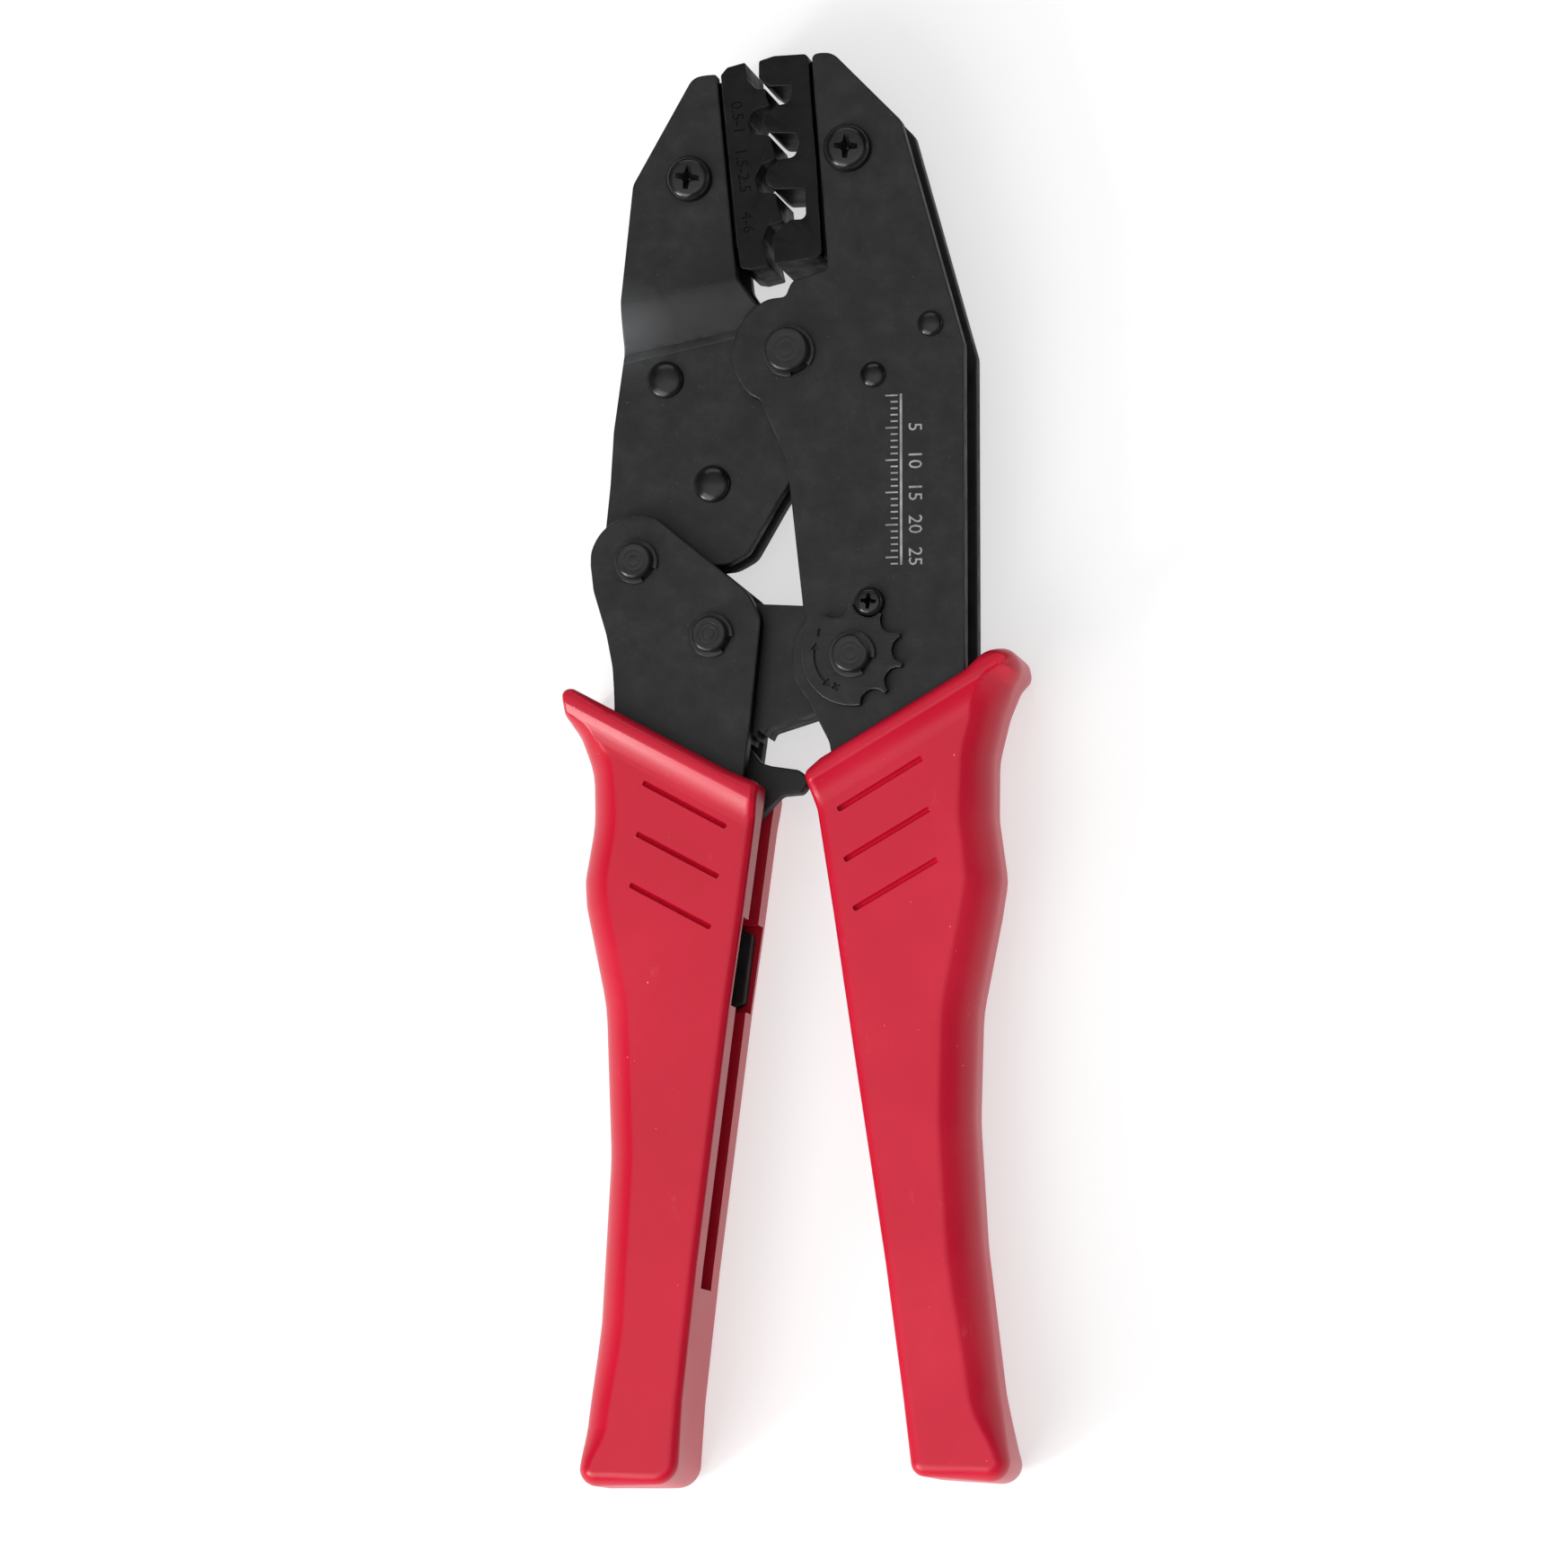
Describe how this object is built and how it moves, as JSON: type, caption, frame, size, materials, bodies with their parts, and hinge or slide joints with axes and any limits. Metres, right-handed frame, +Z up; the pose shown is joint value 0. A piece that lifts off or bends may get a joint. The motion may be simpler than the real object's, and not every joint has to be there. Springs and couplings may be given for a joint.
{
  "type": "ratchet crimping tool",
  "caption": "Hand crimping pliers with two screwed-in dies, joggled jaw plates, a ratcheted toggle link, a release pawl, an adjuster wheel and moulded red grips.",
  "frame": {"origin": "middle of the bounding box in X and Y, at the height of the grips' back faces", "axes": "+Z up, out of the front face and along every pivot; +Y along the tool, from the grips to the jaws; +X across it, from the moving handle to the fixed handle"},
  "size_m": [0.0732, 0.2194, 0.021],
  "materials": {
    "black_steel": "black oxide, satin",
    "die_steel": "black oxide, machined",
    "pin_steel": "turned, darkened",
    "grip_plastic": "red moulded, satin",
    "spring_steel": "bright wire"
  },
  "bodies": {
    "fixed_handle": {"frame_plate_front": "black_steel", "frame_plate_back": "black_steel", "frame_spacer": "black_steel", "frame_rivet_upper": "black_steel", "frame_rivet_lower": "black_steel", "main_pivot_pin": "pin_steel", "main_pivot_ring": "pin_steel", "fixed_die": "die_steel", "fixed_die_screw": "black_steel", "adjuster_pin": "pin_steel", "adjuster_ring": "pin_steel", "adjuster_wheel": "black_steel", "adjuster_lock_screw": "black_steel", "fixed_tail_pin": "pin_steel", "fixed_tail_spacer": "black_steel", "fixed_grip": "grip_plastic"},
    "moving_jaw": {"jaw_plate_front": "black_steel", "jaw_plate_back": "black_steel", "jaw_spacer": "black_steel", "jaw_pivot_bush": "pin_steel", "jaw_rivet_upper": "black_steel", "jaw_rivet_lower": "black_steel", "moving_die": "die_steel", "moving_die_screw": "black_steel"},
    "toggle_link": {"link_plate_front": "black_steel", "link_plate_back": "black_steel", "link_rivet": "pin_steel"},
    "moving_handle": {"lever_plate_front": "black_steel", "lever_plate_back": "black_steel", "jaw_link_pin": "pin_steel", "jaw_link_ring": "pin_steel", "toggle_pin": "pin_steel", "toggle_ring": "pin_steel", "moving_tail_pin": "pin_steel", "moving_tail_spacer": "black_steel", "pawl_pin": "pin_steel", "spring_post": "pin_steel", "pawl_spring": "spring_steel", "moving_grip": "grip_plastic"},
    "release_pawl": {"pawl": "black_steel"}
  },
  "joints": [
    {"name": "jaw_close", "type": "hinge", "parent": "fixed_handle", "child": "moving_jaw", "pos_m": [-0.00018, 0.06313, 0.01025], "axis": [0, 0, 1], "range_deg": [-2.2, 7.3]},
    {"name": "link_swing", "type": "hinge", "parent": "fixed_handle", "child": "toggle_link", "pos_m": [0.00952, 0.01573, 0.01025], "axis": [0, 0, 1], "range_deg": [-5.1, 17.1]},
    {"name": "handle_squeeze", "type": "hinge", "parent": "toggle_link", "child": "moving_handle", "pos_m": [-0.01228, 0.01953, 0.01025], "axis": [0, 0, 1], "range_deg": [-39, 11.5]},
    {"name": "pawl_release", "type": "hinge", "parent": "moving_handle", "child": "release_pawl", "pos_m": [-0.01058, -0.00567, 0.01025], "axis": [0, 0, 1], "range_deg": [-20, 0], "stiffness_Nm_per_rad": 0.2, "deforming": ["pawl_spring"]}
  ],
  "couplings": [
    {"joint": "link_swing", "follows": "handle_squeeze", "ratio": -0.437},
    {"joint": "jaw_close", "follows": "handle_squeeze", "ratio": -0.186}
  ]
}
